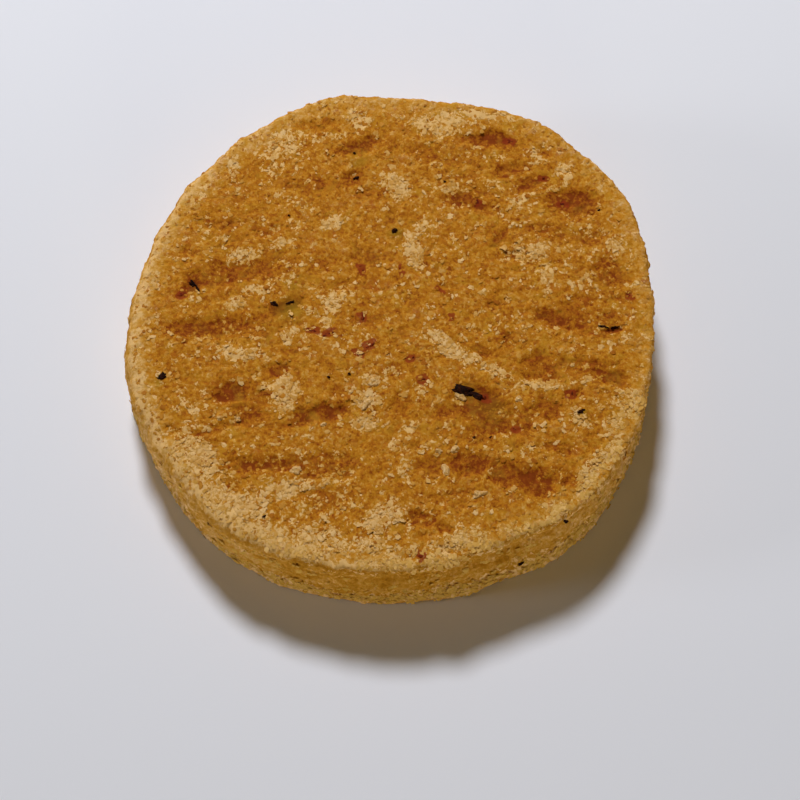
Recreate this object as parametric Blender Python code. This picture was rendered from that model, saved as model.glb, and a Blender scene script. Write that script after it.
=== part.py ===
"""A round soft cookie, baked in one piece, lying on its flat base.

Lengths are in metres and +Z is up. The origin is the middle of the base. The top
starts as a square grid bent to a disc, its edge is carried down the side ring by
ring, and the last ring is closed by the base. The outline, the furrows pressed
into the top and the lumps are all worked out from the sizes named here.
"""

import math

import bmesh
import bpy
from mathutils import Vector, noise

MM = 0.001

# The whole cookie
MEAN_RADIUS = 32.9 * MM
THICKNESS = 11.3 * MM
CRUST_COLOR = (0.46, 0.20, 0.055, 1.0)
CRUST_ROUGHNESS = 0.8

# Where the outline stands out or is flat: direction in degrees counter-clockwise
# from +X, how far it goes out or in, and how many degrees wide it is
OUTLINE_SWELLS = (
    (37, 2.2 * MM, 15),
    (61, 1.0 * MM, 8),
    (82, -0.4 * MM, 8),
    (107, 0.8 * MM, 12),
    (167, -0.25 * MM, 22),
    (191, 0.7 * MM, 12),
    (232, 0.6 * MM, 9),
    (282, -0.9 * MM, 14),
    (297, -0.6 * MM, 6),
    (321, 0.5 * MM, 10),
)

# The rim, the side and the edge of the base
RIM_ROUNDING = 1.3 * MM
BASE_ROUNDING = 0.5 * MM
SIDE_FLARE = 0.35 * MM
WAIST_DEPTH = 0.7 * MM
WAIST_HEIGHT = 5.6 * MM
WAIST_WIDTH = 1.1 * MM
WAIST_DIRECTION = 300
WAIST_SPREAD = 55
SKIRT_DEPTH = 0.9 * MM
SKIRT_WIDTH = 2.2 * MM
SKIRT_DIRECTION = 297
SKIRT_SPREAD = 12

# Furrows pressed into the top, all running roughly along X in rows one pitch
# apart. Each stroke has its start and end along X and its depth, in millimetres.
FURROW_PITCH = 6.4 * MM
FURROW_WIDTH = 2.6 * MM
FURROW_WANDER = 0.8 * MM
FURROW_TURN = 4.5 * MM
FURROW_ROWS = {
    4: ((-11, -1, 0.5), (2, 8, 0.3), (9, 17, 0.9)),
    3: ((-13, -3, 0.6), (6, 13, 0.6), (15, 28, 0.7)),
    2: ((-19, -11, 0.3), (14, 24, 0.6)),
    1: ((-27, -11, 0.9), (26, 30, 0.4)),
    0: ((-29, -14, 0.8), (17, 26, 0.8)),
    -1: ((-17, -12, 0.4), (16, 29, 0.7)),
    -2: ((-22, -16, 0.9), (-13, -5, 0.6), (8, 17, 0.8)),
    -3: ((-19, -4, 0.7), (6, 22, 0.9)),
    -4: ((1, 8, 0.6),),
}

# Broad swells of the top and small lumps of the side
SWELL_SIZE = 15 * MM
SWELL_HEIGHT = 0.35 * MM
LUMP_SIZE = 3.2 * MM
LUMP_HEIGHT = 0.35 * MM

# How finely the faces follow it all
TOP_CELLS = 44
RIM_STEPS = 3
SIDE_HEIGHTS = (7.8 * MM, 6.7 * MM, 5.6 * MM, 4.5 * MM, 3.2 * MM, 1.8 * MM)


def clear_scene():
    for obj in list(bpy.data.objects):
        bpy.data.objects.remove(obj, do_unlink=True)


def bell(distance, width):
    """1 at the middle, falling smoothly to 0 on both sides."""
    return math.exp(-0.5 * (distance / width) ** 2)


def angle_between(first, second):
    return (first - second + 180) % 360 - 180


def outline_radius(direction):
    """How far the rim reaches from the middle in this direction, in degrees."""
    reach = MEAN_RADIUS
    for middle, height, width in OUTLINE_SWELLS:
        reach += height * bell(angle_between(direction, middle), width)
    return reach


def furrow_depth(x, y):
    """How far the furrows press the top down at this place."""
    deepest = 0.0
    for row, strokes in FURROW_ROWS.items():
        for start, end, depth in strokes:
            middle = 0.5 * (start + end) * MM
            half_length = 0.5 * (end - start) * MM
            line = row * FURROW_PITCH + FURROW_WANDER * math.sin((x - middle) / FURROW_TURN + row)
            along = 1 / (1 + ((x - middle) / half_length) ** 6)
            across = bell(y - line, 0.4 * FURROW_WIDTH)
            deepest = max(deepest, depth * MM * along * across)
    return deepest


def top_height(x, y):
    """The crest of the top is at the full thickness and all the rest lies below it."""
    swell = 0.5 - 0.5 * noise.noise(Vector((x, y, 0)) / SWELL_SIZE)
    return THICKNESS - SWELL_HEIGHT * swell - furrow_depth(x, y)


def polar(direction, reach, height):
    turn = math.radians(direction)
    return Vector((reach * math.cos(turn), reach * math.sin(turn), height))


def crest_height(direction):
    """The height of the top where its rounded rim begins."""
    crest = polar(direction, outline_radius(direction) - RIM_ROUNDING, 0)
    return top_height(crest.x, crest.y)


def side_point(direction, inset, height):
    """The side flares towards the base, with a waist and a wider foot on one part of its way round."""
    reach = outline_radius(direction) - inset + SIDE_FLARE * (1 - height / THICKNESS)
    around = bell(angle_between(direction, WAIST_DIRECTION), WAIST_SPREAD)
    reach -= WAIST_DEPTH * around * bell(height - WAIST_HEIGHT, WAIST_WIDTH)
    around = bell(angle_between(direction, SKIRT_DIRECTION), SKIRT_SPREAD)
    reach += SKIRT_DEPTH * around * bell(height, SKIRT_WIDTH)
    reach += LUMP_HEIGHT * noise.noise(polar(direction, MEAN_RADIUS, height) / LUMP_SIZE)
    return polar(direction, reach, height)


def shape_top(bm):
    """Bends a square grid to a disc of even cells and lifts it to the height of the top."""
    bmesh.ops.create_grid(bm, x_segments=TOP_CELLS, y_segments=TOP_CELLS, size=1)
    for vert in bm.verts:
        x = vert.co.x * math.sqrt(1 - 0.5 * vert.co.y ** 2)
        y = vert.co.y * math.sqrt(1 - 0.5 * vert.co.x ** 2)
        reach = outline_radius(math.degrees(math.atan2(y, x))) - RIM_ROUNDING
        vert.co = Vector((x * reach, y * reach, top_height(x * reach, y * reach)))


def carry_down(bm, edges, place):
    """Extrudes the open edge once and moves each new point to its place in that direction."""
    new_edges = []
    for item in bmesh.ops.extrude_edge_only(bm, edges=edges)["geom"]:
        if isinstance(item, bmesh.types.BMVert):
            item.co = place(math.degrees(math.atan2(item.co.y, item.co.x)))
        elif isinstance(item, bmesh.types.BMEdge):
            new_edges.append(item)
    return [edge for edge in new_edges if edge.is_boundary]


def shape_side(bm):
    """The rounded rim, the side, the small rounding at the bottom and the flat base."""
    edges = [edge for edge in bm.edges if edge.is_boundary]
    for step in range(1, RIM_STEPS + 1):
        turn = 0.5 * math.pi * step / RIM_STEPS
        inset = RIM_ROUNDING * (1 - math.sin(turn))
        drop = RIM_ROUNDING * (1 - math.cos(turn))
        edges = carry_down(
            bm, edges, lambda direction: side_point(direction, inset, crest_height(direction) - drop)
        )
    for height in SIDE_HEIGHTS:
        edges = carry_down(bm, edges, lambda direction: side_point(direction, 0, height))
    edges = carry_down(bm, edges, lambda direction: side_point(direction, 0, BASE_ROUNDING))
    edges = carry_down(bm, edges, lambda direction: side_point(direction, BASE_ROUNDING, 0))
    bmesh.ops.edgeloop_fill(bm, edges=edges)


def centre_on_origin(bm):
    """Puts the middle of the outline's box over the origin; the base is already at zero."""
    for axis in range(2):
        places = [vert.co[axis] for vert in bm.verts]
        middle = 0.5 * (min(places) + max(places))
        for vert in bm.verts:
            vert.co[axis] -= middle


def crust_material():
    material = bpy.data.materials.new("baked_crust")
    material.use_nodes = True
    shader = material.node_tree.nodes["Principled BSDF"]
    shader.inputs["Base Color"].default_value = CRUST_COLOR
    shader.inputs["Roughness"].default_value = CRUST_ROUGHNESS
    shader.inputs["Metallic"].default_value = 0.0
    return material


def make_cookie():
    bm = bmesh.new()
    shape_top(bm)
    shape_side(bm)
    centre_on_origin(bm)
    bmesh.ops.recalc_face_normals(bm, faces=bm.faces)
    mesh = bpy.data.meshes.new("cookie")
    bm.to_mesh(mesh)
    bm.free()
    mesh.shade_smooth()
    mesh.set_sharp_from_angle(angle=math.radians(60))
    mesh.materials.append(crust_material())
    cookie = bpy.data.objects.new("cookie", mesh)
    bpy.context.scene.collection.objects.link(cookie)
    return cookie


clear_scene()
make_cookie()
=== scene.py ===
import math

import bmesh
import bpy
import numpy as np
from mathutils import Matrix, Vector


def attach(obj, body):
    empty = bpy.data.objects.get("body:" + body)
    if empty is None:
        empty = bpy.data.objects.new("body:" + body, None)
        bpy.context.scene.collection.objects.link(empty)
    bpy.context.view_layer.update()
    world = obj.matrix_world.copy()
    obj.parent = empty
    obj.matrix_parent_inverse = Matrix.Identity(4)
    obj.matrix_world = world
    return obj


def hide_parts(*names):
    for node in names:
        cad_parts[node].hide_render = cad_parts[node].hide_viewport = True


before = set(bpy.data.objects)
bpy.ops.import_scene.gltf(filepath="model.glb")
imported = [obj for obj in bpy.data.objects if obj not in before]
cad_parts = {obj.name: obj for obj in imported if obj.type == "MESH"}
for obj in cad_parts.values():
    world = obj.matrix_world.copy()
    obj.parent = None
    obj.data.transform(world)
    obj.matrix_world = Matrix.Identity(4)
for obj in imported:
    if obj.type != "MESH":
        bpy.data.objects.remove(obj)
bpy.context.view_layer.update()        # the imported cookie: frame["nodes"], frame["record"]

mm = 0.001
print("frame loaded")


# Noise that is worked out for many points at once

# large odd numbers that scramble the bits of a cell's place
axisMix = (73856093, 19349663, 83492791)
seedMix = 668265263
roundMix = 2246822519
lowBits = 0xFFFFFFFF


def cellRandom(cells, seed):
    # one even number from 0 to 1 for each whole-number cell
    mixed = cells[..., 0] * axisMix[0] ^ cells[..., 1] * axisMix[1] ^ cells[..., 2] * axisMix[2]
    mixed = (mixed ^ (seed * seedMix)) & lowBits
    for shift in (15, 12, 16):
        mixed = ((mixed ^ (mixed >> shift)) * roundMix) & lowBits
    return (mixed >> 8) / float(1 << 24)


def smoothNoise(points, size, seed):
    # soft noise from -1 to 1, whose lumps are about this size
    scaled = points / size
    corner = np.floor(scaled).astype(np.int64)
    part = scaled - corner
    part = part * part * (3 - 2 * part)
    total = np.zeros(len(points))
    for step in np.ndindex(2, 2, 2):
        weight = np.prod(np.where(np.array(step) == 1, part, 1 - part), axis=1)
        total += weight * cellRandom(corner + np.array(step), seed)
    return 2 * total - 1


def layeredNoise(points, size, seed, layers=3):
    total = np.zeros(len(points))
    for layer in range(layers):
        total += smoothNoise(points, size / 2 ** layer, seed + layer) / 2 ** layer
    return total / (2 - 2 ** (1 - layers))


def grainNoise(points, size, seed):
    # angular grains packed side by side: how far inside its edges a point is, how its face
    # leans, and a number for each grain
    scaled = points / size
    corner = np.floor(scaled).astype(np.int64)
    nearest = np.full(len(points), 9.0)      # farther than any grain
    second = nearest
    lean = np.zeros(len(points))
    number = np.zeros(len(points))
    for step in np.ndindex(3, 3, 3):
        cell = corner + np.array(step) - 1
        offset = scaled - cell - np.stack([cellRandom(cell, seed + axis) for axis in range(3)], axis=1)
        distance = np.linalg.norm(offset, axis=1)
        closer = distance < nearest
        second = np.where(closer, nearest, np.minimum(second, distance))
        nearest = np.where(closer, distance, nearest)
        slopes = [cellRandom(cell, seed + 3 + axis) - 0.5 for axis in range(3)]
        lean = np.where(closer, sum(offset[:, axis] * slopes[axis] for axis in range(3)), lean)
        number = np.where(closer, slopes[0] + 0.5, number)
    return second - nearest, lean, number


def ease(value, start, end):
    # 0 before start, 1 after end, smooth between them
    share = np.clip((value - start) / (end - start), 0, 1)
    return share * share * (3 - 2 * share)


def bell(distance, width):
    return np.exp(-0.5 * (distance / width) ** 2)


def turnBetween(first, second):
    return (first - second + 180) % 360 - 180


# The cookie's form, in millimetres and in degrees counter-clockwise from +X

cookieForm = {
    "meanRadius": 32.8,
    "thickness": 10.9,       # to the crest of the crust, without its crumbs
    # where the outline swells: direction, height, width
    "outline": [
        (37, 2.2, 15), (61, 1.0, 8), (82, -0.4, 8), (107, 0.8, 12), (167, -0.25, 22),
        (191, 0.7, 12), (232, 0.6, 9), (282, -0.9, 14), (297, -0.6, 6), (321, 0.5, 10),
    ],
    # where the edge and the side are crumbly, how widely, and how much elsewhere
    "crumbly": (298, 56, 0.2),
    "rimRounding": 0.85,     # radius of the top's edge
    "rimSoftness": (200, 38, 1.6),      # where the edge is rounder, how widely and by how much
    "rimCrumble": (0.8, 2.6),       # how unevenly that edge has crumbled down, in bites of what size
    "rimRagged": (0.35, 1.8),       # and how far in and out, again with their size
    "baseRounding": 0.25,
    "baseInset": 0.4,        # from the edge of the base to its even faces
    "sideFlare": 0.1,        # how much wider the cookie is at its base
    "lip": {"height": 0.2, "width": 0.55, "depth": 0.3},    # the thin lip that spread out at the foot
    "swellSize": 15,
    "swellHeight": 0.35,
    "lumpSize": 3.2,
    "lumpHeight": 0.28,
    "waist": {"height": 7.0, "width": 1.6, "depth": 0.8, "direction": 305, "spread": 50},
    "skirt": {"height": 0.8, "width": 3.4, "depth": 1.0, "direction": 297, "spread": 12},
    "wave": {"height": 0.5, "size": 2.2, "circle": 9},      # how waist and skirt wander up and down
    "dentDepth": 0.4,        # of a dent of depth 1
    "grains": [(1.7, 0.1), (0.8, 0.08)],        # size and height of the dough's grains
    "sideRoughness": 1.0,    # how much rougher the crumbly side is than the top
    "streakSize": 2.4,       # of the furrows that run round the side
    "streakHeight": 0.16,
    "cells": 230,            # of the top, across
    "sideRings": 28,
    "rimRings": 5,
    "noiseCircle": 32,       # the circle on which the noise round the side is read
}

# Furrows and dents pressed into the top: x, y, length, width, turn, depth
dents = [
    (-9.5, 28.3, 5, 1.8, 8, 0.4), (-4.5, 25.2, 6, 2.4, 22, 0.6), (5, 24.3, 9, 2.2, -4, 0.3),
    (13.2, 26, 8, 2.0, 0, 0.85), (15.2, 21.8, 4.2, 2.4, 5, 0.5), (19.6, 24.4, 1.8, 1.7, 0, 0.4),
    (-17, 22, 2.6, 1.6, 0, 0.25), (-18.5, 17.8, 2.8, 2.6, 0, 0.25), (-10, 19.4, 7, 2.2, 8, 0.4),
    (-4.8, 20.4, 3.4, 2.4, 0, 0.45), (9.6, 17, 7.5, 2.4, -12, 0.65), (9.3, 20.4, 2.6, 1.9, 0, 0.35),
    (17.8, 19.6, 5.5, 2.2, 18, 0.65), (23.8, 16.7, 7.2, 3.8, -4, 0.8), (0, 15.5, 1.3, 2, 0, 0.3),
    (20, 13, 11, 1.8, -7, 0.4), (13.6, 11.8, 1.2, 4.2, -22, 0.55), (-15, 13.2, 5.5, 1.8, 0, 0.4),
    (-22.5, 14.2, 8, 1.7, -8, 0.3), (28, 6.7, 3.6, 2, 0, 0.5), (28.6, 3.7, 3, 1.5, 0, 0.35),
    (-26, 9.6, 3, 1.7, 0, 0.4), (-19.4, 7, 15, 3.8, 12, 0.58), (-14.5, 9.2, 5, 2, 10, 0.35),
    (-24.6, 5.4, 3.4, 2.4, 0, 0.9), (-8.6, 8.8, 3.4, 2.2, 0, 0.3), (-3.4, 8.7, 5, 3, 0, 0.35),
    (5.5, 7.6, 2.4, 2, 0, 0.25), (6.2, 4.8, 2, 1.2, 0, 0.3), (12.6, 3.2, 2.6, 1.8, 0, 0.25),
    (-13.4, 2.3, 5.5, 2.4, 20, 0.65), (-16.6, 0.2, 5, 1.8, 20, 0.35), (-22.4, -0.4, 12, 3.0, 0, 0.7),
    (20.4, 0.7, 4.6, 2.8, 0, 0.8), (22.6, 0.8, 5.5, 3.4, 0, 0.6), (24.8, -0.6, 2.4, 1.8, 0, 0.45),
    (27.2, -0.2, 3.3, 0.9, -2, 1), (14, -1.8, 2.6, 1.6, -40, 0.45), (11, -3.5, 2.8, 1.4, -30, 0.5),
    (-14.4, -6, 3.4, 2.2, 30, 0.5), (0.4, -6, 2.4, 2.6, 0, 0.4), (18.6, -5.4, 5, 3, 0, 0.6),
    (23, -5.5, 7, 2, 5, 0.5), (26.2, -7.2, 5, 2.4, -20, 0.8), (-18.8, -9.2, 5.2, 3.2, 5, 0.9),
    (-16.8, -12, 4.5, 2.6, -20, 0.5), (-21, -13.8, 6.5, 1.5, 12, 0.4), (-8.6, -12.2, 7.6, 2.8, 12, 0.9),
    (-12.4, -12.8, 3.2, 1.5, 10, 0.5), (1, -11, 2.8, 2.6, 0, 0.35), (7.6, -11.8, 4, 2.8, 0, 0.6),
    (10.8, -10, 6.6, 4.6, -14, 1), (12.6, -13, 8, 3.2, -8, 0.7), (18.3, -11, 3.4, 2.6, 0, 0.5),
    (22, -9.2, 2.2, 1.4, 0, 0.35), (20, -16.3, 4, 1.8, 0, 0.4), (24.4, -13.4, 2, 2, 0, 0.25),
    (-14.5, -18.7, 10, 2, 4, 0.75), (-6.5, -18, 6, 1.8, 0, 0.55), (-18.8, -20.6, 1.7, 2.6, 0, 0.5),
    (4.5, -18.8, 3.6, 2.3, 0, 0.45), (9.4, -18.2, 5.4, 3.4, 0, 0.8), (14.4, -19.6, 4.6, 3.2, -8, 0.75),
    (17, -20.6, 4.6, 3.2, -25, 0.9), (20.6, -20.4, 4, 2.5, 0, 0.55), (-7.6, -23.2, 6.4, 3.4, 0, 0.45),
    (8, -23, 6.5, 2.6, 0, 0.25), (3.4, -25.6, 3.8, 2.4, -14, 0.7), (6.2, -26.6, 3, 1.7, -10, 0.45),
    (3.7, -30, 1.9, 1.5, 0, 0.4), (-3.2, 1, 3.6, 2.4, 0, 0.35), (27.6, 7, 4, 4.4, 0, 0.6),
    (25.6, 12, 5, 2.4, 0, 0.45), (26.6, 1.2, 3.6, 1.6, 0, 0.45), (23.4, 2.8, 3.8, 1.8, 0, 0.5),
    (-12.4, -3.2, 3.4, 1.8, 0, 0.35), (-15.4, -10, 2.6, 1.8, 0, 0.4), (-6, -9.2, 2.6, 1.8, 0, 0.4),
    (-8, -19.4, 8, 2.6, 0, 0.45), (4.2, 9, 2.4, 2, 0, 0.35), (15.6, 9.4, 4.4, 1.6, 0, 0.35),
    (7.4, 23, 7, 2, 0, 0.35), (10.8, -15.2, 4.4, 2, 0, 0.45), (15.4, -11.8, 4, 2.4, 0, 0.5),
    (18.4, -7, 4.4, 1.8, 0, 0.6), (-2.2, 5, 3, 1.8, 0, 0.3), (-2, 18.2, 6, 2, 0, 0.3),
    (8, -29.4, 4.4, 1.4, 0, 0.6), (1.6, -30.6, 2.6, 1.2, 0, 0.4), (-17.6, -13.2, 3.4, 2, 0, 0.5),
    (2.6, 3, 2.4, 2, 0, 0.3), (-6, 5, 3, 1.6, 0, 0.3), (-16.4, -1.2, 3.4, 1.6, 0, 0.4),
    (-8, 19, 4, 1.8, 0, 0.3), (20, 18.8, 3, 1.4, 0, 0.3), (-26, -14.8, 3, 1.8, 0, 0.7),
    (11.6, 18.6, 3, 1.4, 0, 0.4),
]

# Where pale crumbs lie thick on the crust: x, y, length, width, turn, strength
paleSpots = [
    (6.5, 28.3, 7.5, 3.8, 0, 1), (12, 29.6, 8, 1.6, -8, 0.8), (-4.3, 28.8, 2.8, 2.6, 0, 0.9),
    (-8.4, 26.6, 4.6, 1.2, 14, 0.7), (-13.6, 24.8, 6, 4, 24, 0.75), (-20, 22.6, 2.4, 2.2, 0, 0.8),
    (-24, 17.6, 5, 3, 30, 0.3), (-11.6, 16.5, 5, 1.6, 5, 0.5), (0.5, 19.2, 4.4, 2.6, -50, 1),
    (2.8, 10.4, 2.2, 5.2, 15, 1), (-7.2, 14.2, 3.4, 2, 0, 0.72), (-13, 11.6, 2.6, 1.6, 0, 0.6),
    (-22, 12, 3.4, 1.6, 0, 0.55), (-17, 10.2, 7, 1.2, 12, 0.5), (17.4, 10.2, 5, 2.6, 10, 0.75),
    (19.6, 7.4, 2, 4.2, 14, 0.8), (23.5, 4.8, 2.4, 1.6, 0, 0.6), (17, 17.4, 4.2, 1.5, 10, 0.65),
    (13, 20, 3, 2, -20, 0.5), (12, 23.7, 9, 1.1, 8, 0.5), (18.4, 23.4, 2.4, 3, 0, 0.65),
    (22.6, 21.6, 2.6, 2.5, 0, 0.8), (21.2, 18.8, 4, 1.2, 40, 0.6), (29.3, 11, 2.2, 3, 0, 0.6),
    (7, 14.6, 4, 1.6, 0, 0.4), (4.2, 13.2, 2, 2.4, -30, 0.8), (-19.4, 2.4, 3.6, 1.7, 0, 0.85),
    (-17, 4.2, 3.8, 1.3, 20, 0.75), (-7, 3.4, 3, 3.2, -40, 0.75), (-9.6, 1.4, 2.8, 2, 0, 0.7),
    (-7.8, 0.2, 2, 1.4, 0, 0.6), (-12.4, -1.5, 4.4, 1.3, 35, 0.6), (-18.6, -3.8, 5.4, 2.2, 0, 0.75),
    (-13, -9, 3.6, 4.6, -18, 0.95), (-2.5, -7.8, 2, 1.6, 25, 0.9), (-3, -10.6, 3.2, 2.7, 0, 1),
    (-3.3, -13.6, 2.6, 2, 0, 0.9), (7.4, -3.9, 3.2, 2, -10, 0.95), (6, -2, 4.4, 2.8, -50, 0.6),
    (12.6, -6.2, 5, 1.1, -24, 0.9), (18, -8, 5.4, 1.1, -4, 0.9), (23.2, -7.5, 4, 1, 18, 0.8),
    (3.4, -9.6, 1.6, 2, 0, 0.55), (2.6, -14, 4.4, 1.2, 28, 0.6), (1.6, -19, 2.6, 4.4, 18, 0.55),
    (8.4, -10, 1.5, 0.9, -30, 1), (-24, -11, 5.4, 2.4, 0, 0.5), (-22.4, -17.4, 7.4, 3.6, -38, 0.95),
    (-19, -23, 8.4, 3.4, -30, 0.95), (-12.4, -21.6, 8, 1.9, 10, 0.85), (-9.6, -28, 3.4, 5.4, 0, 0.9),
    (-1, -25.4, 5.6, 3.2, 25, 0.9), (-4, -28.4, 9, 2.4, 0, 0.7), (8.4, -27.6, 4.6, 3, 10, 0.95),
    (15.6, -26.8, 5, 2.2, 15, 0.8), (20.6, -24, 4.6, 2.2, 24, 0.75), (23, -20.4, 2.6, 5.2, -15, 1),
    (25, -17.4, 5.4, 2.2, 35, 1), (29, -10.4, 3.2, 4.4, 30, 0.85), (17, -16.2, 3.4, 1.8, 20, 0.75),
    (22.4, -12.2, 2.8, 2.1, -30, 0.8), (8, -30.6, 8, 1.2, 6, 0.45), (-16, -27, 9, 3, -30, 0.7),
    (8, 18.4, 3.4, 1.6, 0, 0.75), (27, -13, 3.4, 2, 40, 0.85), (-16, -22.4, 4, 2, 0, 0.85),
    (27.4, -1.9, 3.6, 1.2, 0, 0.7), (3, -8.2, 2, 1.6, 0, 0.6), (9.4, -4.6, 3, 1.6, 0, 0.7),
    (-18, 9.6, 5, 1.8, 14, 0.7), (-13, 6.4, 2.6, 1.6, 0, 0.6), (-8, 26.8, 3, 1.4, 0, 0.6),
    (23, 8, 2, 2, 0, 0.5), (-23.6, -1.4, 5, 1.4, 0, 0.5), (1, -16, 2.4, 1.8, 0, 0.6),
    (-7.6, -27, 4, 2, 0, 0.7), (18.4, -18.4, 2.4, 1.2, 0, 0.5), (-14, 22, 4, 2, 20, 0.6),
]

# Soft olive rings round the dark flecks: x, y, reach, strength
oliveRings = [
    (9.2, -8.6, 2.4, 0.8), (-28, -8, 1.4, 0.7), (-12.7, 1.8, 3.2, 1), (-12, 5.5, 2.6, 0.5),
    (-15.4, -2, 1.2, 0.7), (0.4, 12.7, 1.5, 1), (-4.3, 23, 1.3, 0.7), (23, -11.7, 1.2, 0.9),
    (-24.4, 4.8, 1.2, 0.4), (12.5, -11, 3.2, 0.5),
]

# How far the outlines of all these wander, in broad turns and in fine ones
wander = {"x": 0.9, "y": 0.6, "size": 4.5, "fine": 0.35, "fineSize": 1.4}

# From where to where a spot fades out, in shares of its own reach
spotEdges = {"dent": (0.5, 1.35), "pale": (0.3, 1.8), "stain": (0.2, 1.1)}

# Pale crumbs along the rim, thickest at the front, and a smooth tan skin on it, clearest at
# the back and the left
rimDust = {"direction": 255, "spread": 60, "least": 0.15, "reach": 5.5, "strength": 0.72}
rimSkin = {"direction": 194, "spread": 50, "least": 0.36, "reach": 4.8, "strength": 1.75}

# Thin dust all over, with more of it for each millimetre nearer to the front
thinDust = {"strength": 0.18, "change": 0.18, "size": 6.5, "nearer": 0.00375}

# Where less fine dust lies between the crumbs of the rim, and from how far out
looserDust = {"direction": 312, "spread": 32, "share": 0.4, "start": 16, "full": 26}

# The hidden base, evenly baked
cookieBase = {"browning": 0.22, "change": 0.3, "patchSize": 9, "dust": 0.12}


def spotShape(x, y, spot, start, end):
    # 1 inside an oval spot, 0 outside it, with its edge from start to end times its own reach
    turn = math.radians(spot[4])
    along = (x - spot[0]) * math.cos(turn) + (y - spot[1]) * math.sin(turn)
    across = (y - spot[1]) * math.cos(turn) - (x - spot[0]) * math.sin(turn)
    reach = np.sqrt((2 * along / spot[2]) ** 2 + (2 * across / spot[3]) ** 2)
    return ease(-reach, -end, -start)


def outlineReach(direction):
    reach = np.full(np.shape(direction), float(cookieForm["meanRadius"]))
    for middle, height, width in cookieForm["outline"]:
        reach = reach + height * bell(turnBetween(direction, middle), width)
    return reach


def crumbly(direction):
    middle, spread, least = cookieForm["crumbly"]
    return least + (1 - least) * bell(turnBetween(direction, middle), spread)


def rimRounding(direction):
    middle, spread, extra = cookieForm["rimSoftness"]
    return cookieForm["rimRounding"] + extra * bell(turnBetween(direction, middle), spread)


def flat(x, y):
    return np.stack([x, y, np.zeros(len(x))], axis=1)


def directionOf(x, y):
    return np.degrees(np.arctan2(y, x))


def ringPoints(direction, reach, height):
    turn = np.radians(direction)
    return np.stack([reach * np.cos(turn), reach * np.sin(turn), height + 0 * reach], axis=1)


def sideNoisePlaces(direction, height):
    return ringPoints(direction, cookieForm["noiseCircle"], height)


def alongRim(band, direction, inside):
    # how strong a band along the rim is at this direction, this far inside the outline
    near = bell(turnBetween(direction, band["direction"]), band["spread"])
    strength = band["strength"] * (band["least"] + (1 - band["least"]) * near)
    return strength * ease(-inside, -band["reach"], 0)


def readTop(x, y):
    # how deep the top is pressed here and how pale and olive it is
    places = flat(x, y)
    size, fine, fineSize = wander["size"], wander["fine"], wander["fineSize"]
    wanderX = x + wander["x"] * smoothNoise(places, size, 11) + fine * smoothNoise(places, fineSize, 12)
    wanderY = y + wander["y"] * smoothNoise(places, size, 13) + fine * smoothNoise(places, fineSize, 14)
    pressed = np.zeros(len(x))
    for dent in dents:
        shape = spotShape(wanderX, wanderY, dent, *spotEdges["dent"])
        pressed = np.maximum(pressed, dent[5] * shape)
    direction = directionOf(x, y)
    inside = outlineReach(direction) - np.hypot(wanderX, wanderY)
    pale = thinDust["strength"] + thinDust["change"] * smoothNoise(places, thinDust["size"], 16)
    pale = np.maximum(pale - thinDust["nearer"] * y, alongRim(rimDust, direction, inside))
    for spot in paleSpots:
        shape = spotShape(wanderX, wanderY, spot, *spotEdges["pale"])
        pale = np.maximum(pale, spot[5] * shape)
    olive = np.zeros(len(x))
    for middleX, middleY, reach, strength in oliveRings:
        away = np.hypot(wanderX - middleX, wanderY - middleY)
        olive = np.maximum(olive, strength * ease(-away, -reach, 0))
    return pressed, pale, olive


def discGrid(cells):
    # a square grid wrapped to a disc of radius 1, in rings of even steps
    steps = np.linspace(-1, 1, cells + 1)
    u, v = np.meshgrid(steps, steps, indexing="ij")
    ring = np.maximum(np.abs(u), np.abs(v))
    safeU = np.where(u == 0, 1, u)
    safeV = np.where(v == 0, 1, v)
    wide = np.abs(u) >= np.abs(v)
    turn = np.where(wide, math.pi / 4 * v / safeU, math.pi / 2 - math.pi / 4 * u / safeV)
    sign = np.where(wide, np.sign(u), np.sign(v))
    x = sign * ring * np.cos(turn)
    y = sign * ring * np.sin(turn)
    numbers = np.arange((cells + 1) ** 2).reshape(cells + 1, cells + 1)
    corners = [numbers[:-1, :-1], numbers[1:, :-1], numbers[1:, 1:], numbers[:-1, 1:]]
    quads = np.stack(corners, axis=-1).reshape(-1, 4)
    sides = [numbers[-1, :-1], numbers[::-1, -1][:-1], numbers[0, ::-1][:-1], numbers[:-1, 0]]
    return x.ravel(), y.ravel(), quads, np.concatenate(sides)


def sideReach(direction, height):
    # how far the side stands out: a flare at the base, a waist with a crumbly skirt under it
    # at the front, and a thin lip at the foot
    form = cookieForm
    reach = outlineReach(direction) + form["sideFlare"] * (1 - height / form["thickness"])
    circle = ringPoints(direction, form["wave"]["circle"], 0 * height)
    wave = form["wave"]["height"] * smoothNoise(circle, form["wave"]["size"], 21)
    for part, way in (("waist", -1), ("skirt", 1)):
        band = form[part]
        around = bell(turnBetween(direction, band["direction"]), band["spread"])
        upward = bell(height - band["height"] - wave, band["width"] * 0.6)
        reach = reach + way * band["depth"] * around * upward
    lip = form["lip"]
    reach = reach + lip["depth"] * bell(height - lip["height"], lip["width"])
    places = sideNoisePlaces(direction, height)
    lumps = smoothNoise(places, form["lumpSize"], 22)
    # streaks are drawn out round the side
    streaks = smoothNoise(places * (0.3, 0.3, 1.6), form["streakSize"], 23)
    return reach + form["lumpHeight"] * lumps + form["streakHeight"] * streaks


def crestHeight(x, y):
    swell = 0.5 - 0.5 * smoothNoise(flat(x, y), cookieForm["swellSize"], 31)
    return cookieForm["thickness"] - cookieForm["swellHeight"] * swell


def rimCrumble(direction):
    strength, size = cookieForm["rimCrumble"]
    uneven = layeredNoise(sideNoisePlaces(direction, 0 * direction), size, 41)
    return 1 + strength * crumbly(direction) * uneven


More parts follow.
